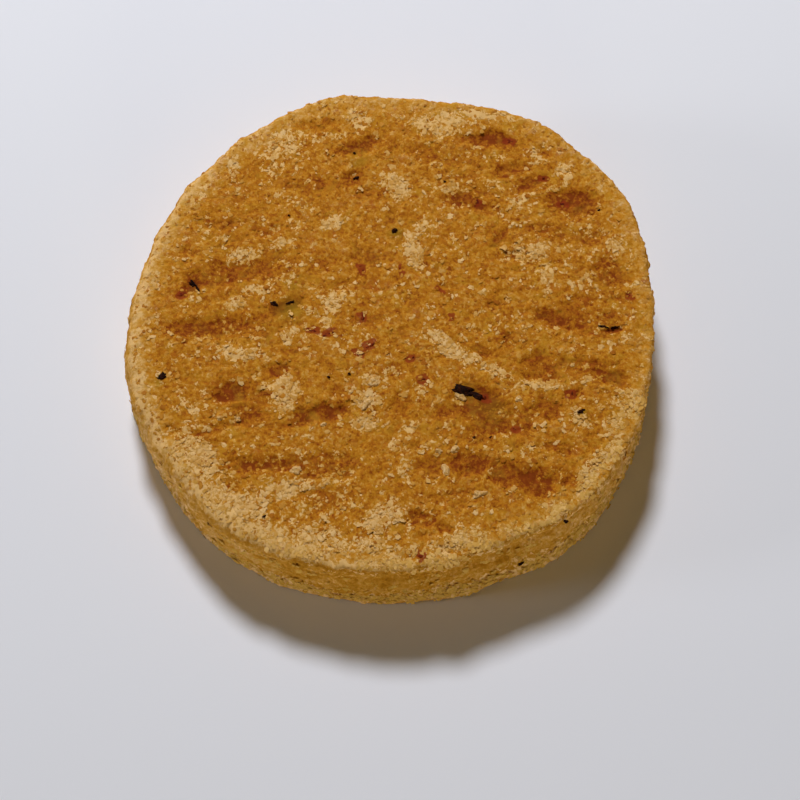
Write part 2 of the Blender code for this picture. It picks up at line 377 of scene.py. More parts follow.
def rimReach(direction):
    # how far the side stands out where the rim's rounding ends
    depth, size = cookieForm["rimRagged"]
    uneven = layeredNoise(sideNoisePlaces(direction, 0 * direction), size, 44)
    ragged = depth * crumbly(direction) * uneven
    return sideReach(direction, cookieForm["thickness"] - rimRounding(direction)) + ragged


def rimDrop(x, y):
    # how far the rounded rim has come down here
    direction = directionOf(x, y)
    rounding = rimRounding(direction)
    over = np.hypot(x, y) - rimReach(direction) + rounding
    share = np.clip(over / rounding, 0, 0.98)        # short of 1, where it would be upright
    return rounding * rimCrumble(direction) * (1 - np.sqrt(1 - share ** 2))


def grainLift(points):
    # each grain stands out inside its edges, some more than others, and leans its own way
    lift = np.zeros(len(points))
    for size, height in cookieForm["grains"]:
        inside, lean, number = grainNoise(points, size, 51 + int(10 * size))
        lift += height * (ease(inside, 0, 0.5) * (0.4 + number) - 0.8 + 2 * lean)
    return lift


def topHeight(x, y, pressed):
    height = crestHeight(x, y) - cookieForm["dentDepth"] * pressed - rimDrop(x, y)
    return height + grainLift(np.stack([x, y, height], axis=1))


def bodyRings(direction):
    # from the rounded rim down the side to the edge of the base
    form = cookieForm
    fullRounding = rimRounding(direction)
    rounding = fullRounding * rimCrumble(direction)
    turn = np.radians(direction)
    rim = rimReach(direction)
    crest = rim - fullRounding
    top = crestHeight(crest * np.cos(turn), crest * np.sin(turn))
    pressed = readTop(crest * np.cos(turn), crest * np.sin(turn))[0]
    rings = []
    for step in range(1, form["rimRings"] + 1):
        share = 0.5 * math.pi * step / form["rimRings"]
        dent = form["dentDepth"] * pressed * math.cos(share)
        height = top - dent - rounding * (1 - math.cos(share))
        rings.append(ringPoints(direction, crest + fullRounding * math.sin(share), height))
    low = form["baseRounding"]
    wallTop = top - rounding
    for step in range(1, form["sideRings"] + 1):
        share = step / form["sideRings"]
        height = wallTop * (1 - share) + low * share
        near = ease(share, 0, 0.15)      # the ragged rim fades into the side
        reach = rim * (1 - near) + sideReach(direction, height) * near
        rings.append(ringPoints(direction, reach, height))
    rings.append(ringPoints(direction, reach - 0.3 * low, 0.3 * low))
    rings.append(ringPoints(direction, reach - low, 0))
    return rings


def buildBody():
    form = cookieForm
    cells = form["cells"]
    x, y, quads, border = discGrid(cells)
    direction = directionOf(x, y) % 360
    reach = rimReach(direction) - rimRounding(direction)
    x = x * reach
    y = y * reach
    points = [np.stack([x, y, crestHeight(x, y) - form["dentDepth"] * readTop(x, y)[0]], axis=1)]
    faces = [quads]
    loop = border
    loopDirection = direction[border]
    count = len(points[0])
    for ring in bodyRings(loopDirection):
        below = count + np.arange(len(ring))
        faces.append(np.stack([loop, below, np.roll(below, -1), np.roll(loop, -1)], axis=1))
        points.append(ring)
        loop = below
        count += len(ring)
    # the base is a coarser disc: each of its edges takes two of the last ring
    baseX, baseY, baseQuads, baseBorder = discGrid(cells // 2)
    edge = points[-1]
    baseDirection = directionOf(baseX, baseY) % 360
    around = np.argsort(loopDirection)
    edgeReach = np.hypot(edge[:, 0], edge[:, 1])[around]
    baseReach = np.interp(baseDirection, loopDirection[around], edgeReach, period=360)
    baseReach = baseReach - form["baseInset"]
    points.append(np.stack([baseX * baseReach, baseY * baseReach, 0 * baseX], axis=1))
    faces.append(baseQuads[:, ::-1] + count)
    inner = baseBorder + count
    even = loop[0::2]
    odd = loop[1::2]
    innerNext = np.roll(inner, -1)
    evenNext = np.roll(even, -1)
    triangles = [
        np.stack([even, inner, odd], axis=1),
        np.stack([inner, innerNext, odd], axis=1),
        np.stack([odd, innerNext, evenNext], axis=1),
    ]
    return np.concatenate(points), np.concatenate(faces), np.concatenate(triangles)


def fillMesh(name, points, quads, triangles, smooth=True):
    # points in metres; quads and triangles as rows of point numbers
    mesh = bpy.data.meshes.new(name)
    mesh.vertices.add(len(points))
    mesh.vertices.foreach_set("co", points.astype(np.float32).ravel())
    corners = np.concatenate([quads.ravel(), triangles.ravel()])
    sizes = np.concatenate([np.full(len(quads), 4), np.full(len(triangles), 3)])
    mesh.loops.add(len(corners))
    mesh.loops.foreach_set("vertex_index", corners.astype(np.int32))
    mesh.polygons.add(len(sizes))
    starts = np.concatenate([[0], np.cumsum(sizes)[:-1]])
    mesh.polygons.foreach_set("loop_start", starts.astype(np.int32))
    mesh.update(calc_edges=True)
    mesh.validate()
    if smooth:
        mesh.shade_smooth()
    else:
        mesh.shade_flat()
    return mesh


def pointNormals(mesh):
    normals = np.zeros(len(mesh.vertices) * 3, np.float32)
    mesh.vertices.foreach_get("normal", normals)
    return normals.reshape(-1, 3).astype(float)


def addValue(mesh, name, values):
    attribute = mesh.attributes.new(name, "FLOAT", "POINT")
    attribute.data.foreach_set("value", values.astype(np.float32))


def addPiece(name, mesh, material):
    piece = bpy.data.objects.new(name, mesh)
    bpy.context.scene.collection.objects.link(piece)
    mesh.materials.append(material)
    return piece


# The outline's own middle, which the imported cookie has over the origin
around = np.arange(0, 360, 0.25)
outlineX = (outlineReach(around) + cookieForm["sideFlare"]) * np.cos(np.radians(around))
outlineY = (outlineReach(around) + cookieForm["sideFlare"]) * np.sin(np.radians(around))
middle = np.array([outlineX.max() + outlineX.min(), outlineY.max() + outlineY.min(), 0]) / 2


def toFrame(points):
    return (points - middle) * mm


# Materials: a wire is a socket that Python's operators work on

class Wire:
    def __init__(self, finish, socket):
        self.finish = finish
        self.socket = socket

    def calculate(self, operation, first, second):
        return self.finish.node("ShaderNodeMath", {"operation": operation}, {0: first, 1: second})

    def __add__(self, other):
        return self.calculate("ADD", self, other)

    def __radd__(self, other):
        return self.calculate("ADD", other, self)

    def __sub__(self, other):
        return self.calculate("SUBTRACT", self, other)

    def __rsub__(self, other):
        return self.calculate("SUBTRACT", other, self)

    def __mul__(self, other):
        return self.calculate("MULTIPLY", self, other)

    def __rmul__(self, other):
        return self.calculate("MULTIPLY", other, self)


class Finish:
    def __init__(self, name):
        self.material = bpy.data.materials.new(name)
        self.material.use_nodes = True
        self.tree = self.material.node_tree
        self.shader = self.tree.nodes["Principled BSDF"]
        self.place = self.node("ShaderNodeTexCoord", output="Object")

    def feed(self, socket, value):
        if isinstance(value, Wire):
            self.tree.links.new(value.socket, socket)
        else:
            socket.default_value = value

    def node(self, kind, settings=None, values=None, output=0):
        made = self.tree.nodes.new(kind)
        for name, value in (settings or {}).items():
            if name == "stops":
                while len(made.color_ramp.elements) < len(value):
                    made.color_ramp.elements.new(0.5)
                for element, (position, colour) in zip(made.color_ramp.elements, value):
                    element.position = position
                    element.color = colour
            else:
                setattr(made, name, value)
        for name, value in (values or {}).items():
            self.feed(made.inputs[name], value)
        return Wire(self, made.outputs[output])

    def blend(self, first, second, amount):
        return self.node("ShaderNodeMix", {"data_type": "RGBA"}, {0: amount, 6: first, 7: second}, 2)

    def ramp(self, stops, amount):
        return self.node("ShaderNodeValToRGB", {"stops": stops}, {"Fac": amount})

    def bump(self, relief, depth):
        # depth in millimetres
        values = {"Height": relief, "Distance": depth * mm, "Strength": 1.0}
        return self.node("ShaderNodeBump", values=values, output="Normal")

    def noise(self, size, detail, roughness, stretch=None):
        # size in millimetres
        place = self.place
        if stretch:
            place = self.node("ShaderNodeVectorMath", {"operation": "MULTIPLY"}, {0: place, 1: stretch})
        values = {"Vector": place, "Scale": 1 / (size * mm), "Detail": detail, "Roughness": roughness}
        return self.node("ShaderNodeTexNoise", values=values)

    def flakes(self, size):
        # angular flakes packed side by side: a number from 0 to 1 for each
        values = {"Vector": self.place, "Scale": 1 / (0.7 * size * mm)}
        bend = self.node("ShaderNodeTexNoise", values=values, output="Color")
        values = {0: bend, 1: (0.8 * size * mm,) * 3, 2: self.place}
        bent = self.node("ShaderNodeVectorMath", {"operation": "MULTIPLY_ADD"}, values)
        values = {"Vector": bent, "Scale": 1 / (size * mm)}
        cells = self.node("ShaderNodeTexVoronoi", values=values, output="Color")
        return self.node("ShaderNodeSeparateColor", values={"Color": cells})

    def step(self, value, low, high):
        values = {"Value": value, "From Min": low, "From Max": high}
        return self.node("ShaderNodeMapRange", {"interpolation_type": "SMOOTHSTEP"}, values)

    def value(self, name):
        return self.node("ShaderNodeAttribute", {"attribute_name": name}, output="Fac")

    def finishWith(self, values):
        for name, value in values.items():
            self.feed(self.shader.inputs[name], value)
        return self.material


def linear(share):
    return share / 12.92 if share <= 0.04045 else ((share + 0.055) / 1.055) ** 2.4


def colour(red, green, blue):
    # a colour as a picture gives it, 0 to 255, to the linear numbers that Blender takes
    return tuple(linear(part / 255) for part in (red, green, blue)) + (1.0,)


# Dry dough, with hardly any shine
doughBody = {"Roughness": 0.8, "Specular IOR Level": 0.1}

crustLook = {
    # from the darkest crust in the dents to the palest dust
    "shades": [
        (0.0, colour(130, 56, 2)), (0.15, colour(154, 82, 6)), (0.35, colour(177, 107, 12)),
        (0.55, colour(193, 127, 25)), (0.75, colour(205, 147, 58)), (0.9, colour(216, 164, 86)),
        (1.0, colour(228, 182, 112)),
    ],
    # the side, from the bare dough in the front's hollow to the baked skin at the left
    "doughShades": [
        (0.0, colour(146, 91, 5)), (0.3, colour(187, 126, 18)), (0.55, colour(209, 150, 50)),
        (0.8, colour(228, 176, 100)), (1.0, colour(247, 203, 142)),
    ],
    # how far along its shades the top is by itself, and by how much each of the others moves it
    "top": {
        "plain": 0.475, "dented": 0.53, "patchy": 0.35, "mottle": 0.8, "speckle": 1.2,
        "flakes": 0.42, "dusted": 0.32, "thinDust": 0.18, "skin": 0.4,
    },
    # the same for the side
    "dough": {"streaks": 0.8, "mottle": 0.75, "speckle": 0.8, "flakes": 0.3, "fringed": 0.4},
    "bareSide": 0.44,        # how pale the side is
    "palerSides": [(203, 24, 0.24), (325, 20, 0.22)],       # where paler: direction, spread, how much
    "paintedFootBounce": (215, 32, 0.18, 7.0),       # painted bounce light from the floor: the side paler towards its foot here, with the height that it reaches
    "foot": {"height": 5.0, "strength": 1.05},      # pale crumbs along the foot, up to this height
    "fringe": {"height": 1.2, "strength": 0.45},    # and down from the rim, as far as this
    # size in millimetres, detail and roughness of the noise in it all
    "patchy": (5.0, 3.0, 0.6),
    "mottle": (1.3, 3.0, 0.65),
    "speckle": (0.5, 3.0, 0.7),
    "rust": (1.3, 4.0, 0.75),
    "gold": (2.2, 3.0, 0.65),
    "streaks": (1.5, 3.0, 0.6),
    "streakStretch": (0.45, 0.45, 1.6),
    "flakeSizes": (0.6, 0.3),
    "rusty": colour(158, 74, 12),
    "golden": colour(188, 136, 30),
    "olive": colour(150, 112, 18),
    "red": colour(140, 50, 10),
    "bump": 0.1,             # in millimetres
}


def crustFinish():
    finish = Finish("bakedCrust")
    look = crustLook
    patchy = finish.noise(*look["patchy"]) - 0.5
    mottle = finish.noise(*look["mottle"]) - 0.5
    speckle = finish.noise(*look["speckle"]) - 0.5
    wide, narrow = look["flakeSizes"]
    flakes = 0.7 * (finish.flakes(wide) - 0.5) + 0.6 * (finish.flakes(narrow) - 0.5)
    dented = finish.value("browning")
    pale = finish.value("paleness")
    dusted = finish.step(pale + 0.7 * flakes + 1.1 * mottle + 0.3 * patchy, 0.52, 0.62)
    skin = finish.value("rimSkin") * (1 + 1.2 * mottle)
    rough = 1 - 0.4 * finish.value("rimSkin")        # the skin is smoother than the crust
    move = look["top"]
    lightness = move["plain"] - move["dented"] * dented + move["patchy"] * patchy
    lightness = lightness + move["mottle"] * mottle
    lightness = lightness + (move["speckle"] * speckle + move["flakes"] * flakes) * rough
    lightness = lightness + move["dusted"] * dusted + move["thinDust"] * finish.step(pale, 0.15, 0.9)
    top = finish.ramp(look["shades"], lightness + move["skin"] * skin)
    rust = finish.step(finish.noise(*look["rust"]) + 0.3 * patchy - 0.5 * dusted, 0.5, 0.75)
    top = finish.blend(top, look["rusty"], 0.75 * rust)
    gold = finish.step(finish.noise(*look["gold"]) - 0.3 * patchy - 0.5 * dusted, 0.5, 0.75)
    top = finish.blend(top, look["golden"], 0.5 * gold)
    streaks = finish.noise(*look["streaks"], look["streakStretch"]) - 0.5
    fringed = finish.step(finish.value("sideDust") + 0.8 * flakes + 0.9 * mottle, 0.5, 0.7)
    move = look["dough"]
    lightness = finish.value("sidePaleness") + move["streaks"] * streaks + move["mottle"] * mottle
    lightness = lightness + move["speckle"] * speckle + move["flakes"] * flakes
    dough = finish.ramp(look["doughShades"], lightness + move["fringed"] * fringed)
    mixed = finish.blend(top, dough, finish.value("sideShare"))
    mixed = finish.blend(mixed, look["olive"], finish.value("oliveTint") * 0.75)
    red = finish.step(finish.value("redTint") + 0.8 * speckle, 0.35, 0.65)
    mixed = finish.blend(mixed, look["red"], red * 0.85)
    relief = (speckle + 0.5 * mottle + 0.3 * dusted) * (1 + 0.8 * finish.value("sideShare"))
    bump = finish.bump(relief, look["bump"])
    return finish.finishWith({"Base Color": mixed, "Normal": bump} | doughBody)


# Single bits that lie on the crust: x, y, length, width, turn

darkFlecks = {
    "dark": colour(16, 6, 3), "light": colour(66, 28, 10), "roughness": 0.7, "shine": 0.06,
    "seed": 21, "height": 0.3, "rise": 0.03, "jagged": 1.5, "share": 1.0,
    "bits": [
        (8.8, -8.7, 2.2, 0.8, -14), (10.4, -9.4, 1.9, 0.65, -24), (-28, -7, 1.1, 0.7, 20),
        (-14.5, 2.8, 0.9, 0.45, -20), (-12.5, 3.0, 0.9, 0.3, 25), (-24.8, 5.6, 0.9, 0.45, -35),
        (-24.1, 4.8, 0.8, 0.35, -55), (0.4, 12.9, 0.6, 0.5, 0), (-4.6, 20.6, 0.6, 0.4, 30),
        (-4.8, 24.2, 0.35, 0.3, 0), (26.3, -0.3, 1.2, 0.4, -4), (27.6, -0.4, 0.9, 0.35, 5),
        (23, -11.7, 0.8, 0.5, 0), (-15, -25, 0.4, 0.35, 0), (20.8, -25.5, 0.55, 0.35, 30),
        (-13, 15, 0.3, 0.25, 0), (6.8, 20, 0.3, 0.25, 0), (26.4, 16, 0.35, 0.25, 0),
        (-7.6, -7.1, 0.3, 0.25, 0), (-5.1, -6.7, 0.3, 0.25, 0), (10, -15, 0.3, 0.25, 0),
        (12, -15, 0.3, 0.25, 0),
    ],
    "inSide": [(299, 2.8, 0.6, 0.35)],      # direction, height, length, width
}
redFlecks = {
    "stain": 1.3,            # how much wider the red stain in the crust is, in millimetres
    "stainWander": (0.45, 0.7),      # how far its outline wanders, in bends of what size
    "dark": colour(86, 20, 8), "light": colour(146, 56, 14), "roughness": 0.8, "shine": 0.1,
    "seed": 22, "height": 0.18, "rise": -0.05, "jagged": 2.0, "share": 0.6,
    "bits": [
        (-3.6, 1, 0.8, 1.2, 0), (-7.6, -1.2, 2.0, 0.8, 15), (-9.7, -0.8, 1.2, 0.6, -10),
        (-2.7, -3, 1.6, 0.8, 40), (-3.9, -4, 1.2, 0.5, 20), (2.7, -4.6, 1.3, 0.5, 50),
        (4, -7.4, 1.3, 0.6, 10), (22, -9.2, 0.5, 0.7, 0), (15, -13.9, 0.8, 0.6, 0),
        (19.5, 20.6, 0.7, 0.5, 0), (29.7, 4, 1.0, 0.7, 80), (-3.7, 8, 0.9, 0.3, 0),
        (15.2, 26, 1.0, 0.7, -10), (21.9, 17, 0.9, 0.7, 0), (11.4, -9.6, 1.0, 0.6, -10),
        (-3.5, 7.4, 0.3, 0.7, 0), (6, 4.6, 0.6, 0.3, 10), (7.6, 0.7, 0.5, 0.4, 0),
        (1.1, 7.6, 0.4, 0.3, 0), (1.3, 6.9, 0.35, 0.3, 0), (11, 17.2, 0.8, 0.5, -30),
        (3.5, -30, 0.7, 0.5, 0), (-26.2, 4, 1.2, 0.5, 20),
    ],
}
bigCrumbs = {
    "dark": colour(204, 150, 72), "light": colour(234, 196, 136), "roughness": 0.8, "shine": 0.1,
    "seed": 23, "height": 0.5, "rise": 0.02, "jagged": 1.0, "share": 1.0,
    "bits": [
        (-11.3, -19.1, 1.2, 1.0, 0), (10.5, -22.3, 1.5, 0.9, 10), (15.5, -10, 1.0, 0.8, 30),
        (6.5, -19, 0.9, 1.4, 10), (-2, -7.8, 1.3, 0.8, 30), (-3, -10.7, 1.4, 1.0, 60),
        (8.5, -9.7, 1.3, 0.8, -20), (5.8, -16.8, 0.8, 0.6, 0), (7.7, -16.5, 0.8, 0.7, 40),
        (-20.8, -12.5, 0.7, 0.6, 0), (-18.5, -12.6, 0.7, 0.5, 20), (-8.2, -13.3, 0.7, 0.6, 0),
    ],
}


def redStain(x, y):
    # how red the crust is round the red bits
    stain = np.zeros(len(x))
    reach, size = redFlecks["stainWander"]
    x = x + reach * smoothNoise(flat(x, y), size, 17)
    y = y + reach * smoothNoise(flat(x, y), size, 18)
    wider = redFlecks["stain"]
    for middleX, middleY, length, width, turn in redFlecks["bits"]:
        bit = (middleX, middleY, length + wider, width + wider, turn)
        stain = np.maximum(stain, spotShape(x, y, bit, *spotEdges["stain"]))
    return stain


# How the base, the side and what is near it are told apart from the top
zones = {
    "baseFacing": -0.6,      # the base faces down more than this and lies lower than the next
    "baseHeight": 0.6,
    "baseGrain": 0.7,        # how deep the grain goes into it
    "sideFacing": (0.65, 0.95),      # the side faces outwards, from not at all to fully
    "nearSide": (0.8, 4.5, 0.5),     # how like the side the crumbly rim is, from and up to how far inside
}

bodyPoints, bodyQuads, bodyTriangles = buildBody()
bodyMesh = fillMesh("cookieBody", toFrame(bodyPoints), bodyQuads, bodyTriangles)
normals = pointNormals(bodyMesh)
isBase = (normals[:, 2] < zones["baseFacing"]) & (bodyPoints[:, 2] < zones["baseHeight"])
sideShare = ease(np.hypot(normals[:, 0], normals[:, 1]), *zones["sideFacing"])
bodyDirection = directionOf(bodyPoints[:, 0], bodyPoints[:, 1])
bodyCrumbly = crumbly(bodyDirection)
lift = grainLift(bodyPoints) * (1 + cookieForm["sideRoughness"] * sideShare * bodyCrumbly)
lift = np.where(isBase, np.minimum(lift, 0) * zones["baseGrain"], lift)
bodyPoints = bodyPoints + normals * lift[:, None]
bodyPoints[:, 2] = np.maximum(bodyPoints[:, 2], 0)
bodyMesh.vertices.foreach_set("co", toFrame(bodyPoints).astype(np.float32).ravel())
bodyMesh.update()

bodyX, bodyY, bodyHeight = bodyPoints.T
pressed, pale, olive = readTop(bodyX, bodyY)
basePatches = layeredNoise(flat(bodyX, bodyY), cookieBase["patchSize"], 71)
pressed = np.where(isBase, cookieBase["browning"] + cookieBase["change"] * basePatches, pressed)
pale = np.where(isBase, cookieBase["dust"], pale)
onTop = 1 - sideShare
facesUp = onTop * (normals[:, 2] > 0)

sidePaleness = np.full(len(bodyPoints), crustLook["bareSide"])
for middleTurn, spread, amount in crustLook["palerSides"]:
    sidePaleness += amount * bell(turnBetween(bodyDirection, middleTurn), spread)
# painted bounce light: the side is made paler towards its foot at the front-left, standing in for light
# from the floor; the rest of this paleness is the dough's own colour
middleTurn, spread, amount, reach = crustLook["paintedFootBounce"]
near = bell(turnBetween(bodyDirection, middleTurn), spread)
sidePaleness += amount * near * ease(-bodyHeight, -reach, 0)
foot, fringe = crustLook["foot"], crustLook["fringe"]
underRim = cookieForm["thickness"] - cookieForm["rimRounding"] - bodyHeight
footDust = foot["strength"] * (0.5 + 0.5 * bodyCrumbly) * ease(-bodyHeight, -foot["height"], 0)
fringeDust = fringe["strength"] * bodyCrumbly * ease(-underRim, -fringe["height"], 0)

nearLoose = bell(turnBetween(bodyDirection, looserDust["direction"]), looserDust["spread"])
farOut = ease(np.hypot(bodyX, bodyY), looserDust["start"], looserDust["full"])
looser = 1 - looserDust["share"] * nearLoose * farOut
bodyInside = outlineReach(bodyDirection) - np.hypot(bodyX, bodyY)
amount, reach, edge = zones["nearSide"]
nearSide = np.maximum(sideShare, amount * bodyCrumbly * ease(-bodyInside, -reach, -edge))

addValue(bodyMesh, "sidePaleness", sidePaleness)
addValue(bodyMesh, "sideDust", np.maximum(footDust, fringeDust))
addValue(bodyMesh, "browning", pressed * onTop)
addValue(bodyMesh, "paleness", pale * looser * onTop)
addValue(bodyMesh, "oliveTint", olive * facesUp)
addValue(bodyMesh, "rimSkin", alongRim(rimSkin, bodyDirection, bodyInside) * onTop)
addValue(bodyMesh, "redTint", redStain(bodyX, bodyY) * facesUp)
addValue(bodyMesh, "sideShare", sideShare)
body = addPiece("cookieBody", bodyMesh, crustFinish())
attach(body, "root")
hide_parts("cookie")
print("cookie body made:", len(bodyQuads) * 2 + len(bodyTriangles), "triangles")


# Crumbs: small jagged lumps, joined into one mesh for each kind

def lumpShape():
    # a twelve-pointed ball with twenty faces
    golden = (1 + math.sqrt(5)) / 2
    points = []
    for near in (-1, 1):
        for far in (-golden, golden):
            points += [(0, near, far), (near, far, 0), (far, 0, near)]
    points = np.array(points) / math.hypot(1, golden)
    faces = []
    for a, b, c in ((a, b, c) for a in range(12) for b in range(a) for c in range(b)):
        sides = [points[a] - points[b], points[b] - points[c], points[c] - points[a]]
        if max(np.linalg.norm(side) for side in sides) < 1.1:        # the ball's edges are 1.05 long
            outward = np.dot(np.cross(points[b] - points[a], points[c] - points[a]), points[a]) > 0
            faces.append((a, b, c) if outward else (a, c, b))
    return points, np.array(faces)


def turnedTo(outward, random, tilt):
    # three crossed directions for each crumb: two along the crust, turned at will, and one out of it
    lean = outward + tilt * random.normal(size=outward.shape)
    lean = lean / np.linalg.norm(lean, axis=1)[:, None]
    along = np.cross(lean, random.normal(size=outward.shape))
    along = along / np.linalg.norm(along, axis=1)[:, None]
    return np.stack([along, np.cross(lean, along), lean], axis=1)


def quadMiddles(values):
    return values[bodyQuads].mean(axis=1)


def spreadOver(random, density, clusters, cluster):
    # places on the body's quads, more of them where the density is higher, each one given as
    # often as a cluster has crumbs
    corners = bodyPoints[bodyQuads]
    across = np.cross(corners[:, 2] - corners[:, 0], corners[:, 3] - corners[:, 1])
    area = 0.5 * np.linalg.norm(across, axis=1)
    weight = np.cumsum(area * density)
    chosen = np.repeat(np.searchsorted(weight, random.random(clusters) * weight[-1]), cluster)
    u, v = np.repeat(random.random((2, clusters)), cluster, axis=1)
    shares = np.stack([(1 - u) * (1 - v), u * (1 - v), u * v, (1 - u) * v], axis=1)[:, :, None]
    places = (corners[chosen] * shares).sum(axis=1)
    outward = (normals[bodyQuads][chosen] * shares).sum(axis=1)
    return places, outward / np.linalg.norm(outward, axis=1)[:, None], chosen


def makeCrumbs(name, kind, density, material):
    random = np.random.default_rng(kind["seed"])
    count = kind["clusters"] * kind["cluster"]
    places, outward, chosen = spreadOver(random, density, kind["clusters"], kind["cluster"])
    aside = random.normal(size=(count, 3)) * kind["apart"]
    places = places + aside - outward * (aside * outward).sum(axis=1)[:, None]
    size = kind["size"] * np.exp(kind["spread"] * random.normal(size=count))
    size = np.clip(size, kind["smallest"], kind["largest"])
    points, faces = lumpShape()
    lumps = points * (1 + kind["jagged"] * random.uniform(-1, 1, (count, 12, 1)))
    shape = random.uniform(0.5, 1.5, (count, 3))
    shape[:, 2] = random.uniform(*kind["flatness"], count)
    lumps = lumps * (shape * size[:, None])[:, None, :] / 2
    lumps = np.einsum("npi,nij->npj", lumps, turnedTo(outward, random, kind["tilt"]))
    rise = size * shape[:, 2] * (0.5 - kind["sunk"])
    lumps = lumps + (places + outward * rise[:, None])[:, None, :]
    lumps[:, :, 2] = np.maximum(lumps[:, :, 2], 0.01)        # none below the floor
    rows = (faces[None] + 12 * np.arange(count)[:, None, None]).reshape(-1, 3)
    mesh = fillMesh(name, toFrame(lumps.reshape(-1, 3)), np.zeros((0, 4), int), rows, smooth=False)
    addValue(mesh, "shade", np.repeat(random.random(count), 12))
    addValue(mesh, "nearSide", np.repeat(quadMiddles(nearSide)[chosen], 12))
    addValue(mesh, "browning", np.repeat(quadMiddles(pressed * onTop)[chosen], 12))
    piece = addPiece(name, mesh, material)
    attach(piece, "root")
    print(name, "made:", count, "crumbs")


def crumbFinish(name, look):
    finish = Finish(name)
    speckle = finish.noise(0.3, 2.0, 0.6) - 0.5
    lightness = finish.value("shade") + 0.9 * speckle - look["dentDarker"] * finish.value("browning")
    top = finish.ramp(look["shades"], lightness)
    mixed = finish.blend(top, look["side"], finish.value("nearSide") * 0.7)
    return finish.finishWith({"Base Color": mixed} | doughBody)


# Each kind lies in clusters of a number of crumbs, this far apart; flatness is its height
# against its size, and sunk is how much of that height is in the crust
crustGrains = {
    "clusters": 5200, "cluster": 1, "apart": 0.0, "seed": 3,
    "size": 0.4, "spread": 0.25, "smallest": 0.28, "largest": 0.6,
    "jagged": 0.35, "flatness": (0.15, 0.25), "tilt": 0.08, "sunk": 0.5,
    "shades": [(0.0, colour(160, 90, 14)), (0.5, colour(188, 121, 30)), (1.0, colour(204, 146, 60))],
    "dentDarker": 0.9, "side": colour(206, 160, 72),
    "fewerInDents": (0.6, 0.2, 0.7),     # by how much, from and up to which browning
}
paleCrumbs = {
    "clusters": 2470, "cluster": 4, "apart": 0.22, "seed": 5,
    "size": 0.34, "spread": 0.35, "smallest": 0.18, "largest": 0.62,
    "jagged": 0.5, "flatness": (0.06, 0.16), "tilt": 0.05, "sunk": 0.36,
    "shades": [(0.0, colour(196, 138, 52)), (0.5, colour(212, 162, 88)), (1.0, colour(230, 188, 124))],
    "dentDarker": 0.7, "side": colour(222, 174, 82),
    "fewerInDents": (0.85, 0.25, 0.6),
    "fewerBehind": (0.6, 8, 26),     # by how much, from and up to this far from the middle
    "scattered": (0.03, 0.12),       # how dense they are between the pale patches, at least and more
}
sideCrumbs = {
    "clusters": 2400, "cluster": 4, "apart": 0.3, "seed": 7,
    "size": 0.38, "spread": 0.35, "smallest": 0.22, "largest": 0.8,
    "jagged": 0.45, "flatness": (0.12, 0.28), "tilt": 0.1, "sunk": 0.55,
    "shades": [(0.0, colour(186, 138, 50)), (0.5, colour(216, 172, 90)), (1.0, colour(236, 200, 130))],
    "dentDarker": 0.0, "side": colour(218, 170, 72),
    "scattered": 0.04,
    "heights": (0.5, 9.5),       # they stay between these on the side
}

quadPlaces = quadMiddles(bodyPoints)
topShare = quadMiddles(onTop) * ease(quadMiddles(normals)[:, 2], 0.5, 0.85)
paleShare = quadMiddles(pale) * topShare
brownShare = quadMiddles(pressed) * topShare
clumps = layeredNoise(quadPlaces, 1.6, 61)


def besideDents(kind):
    amount, start, full = kind["fewerInDents"]
    return 1 - amount * ease(brownShare, start, full)


density = topShare * besideDents(crustGrains)
makeCrumbs("crustGrains", crustGrains, density, crumbFinish("goldenGrain", crustGrains))

amount, start, full = paleCrumbs["fewerBehind"]
nearer = 1 - amount * ease(quadPlaces[:, 1], start, full)
least, more = paleCrumbs["scattered"]
scattered = topShare * (least + more * ease(clumps, 0.1, 0.5))
thick = ease(paleShare + 0.5 * clumps, 0.45, 0.8)
density = nearer * (scattered + thick) * besideDents(paleCrumbs)
makeCrumbs("paleCrumbs", paleCrumbs, density, crumbFinish("paleCrumb", paleCrumbs))

low, high = sideCrumbs["heights"]
onWall = quadMiddles(sideShare) * (quadPlaces[:, 2] > low) * (quadPlaces[:, 2] < high)
thick = ease(quadMiddles(footDust + 0.5 * fringeDust) + 0.6 * clumps, 0.4, 0.9)
density = onWall * (sideCrumbs["scattered"] + thick)
makeCrumbs("sideCrumbs", sideCrumbs, density, crumbFinish("sideCrumb", sideCrumbs))


def ballShape():
    shape = bmesh.new()
    bmesh.ops.create_icosphere(shape, subdivisions=3, radius=1)
    points = np.array([point.co[:] for point in shape.verts])
    faces = np.array([[corner.vert.index for corner in face.loops] for face in shape.faces])
    shape.free()
    return points, faces


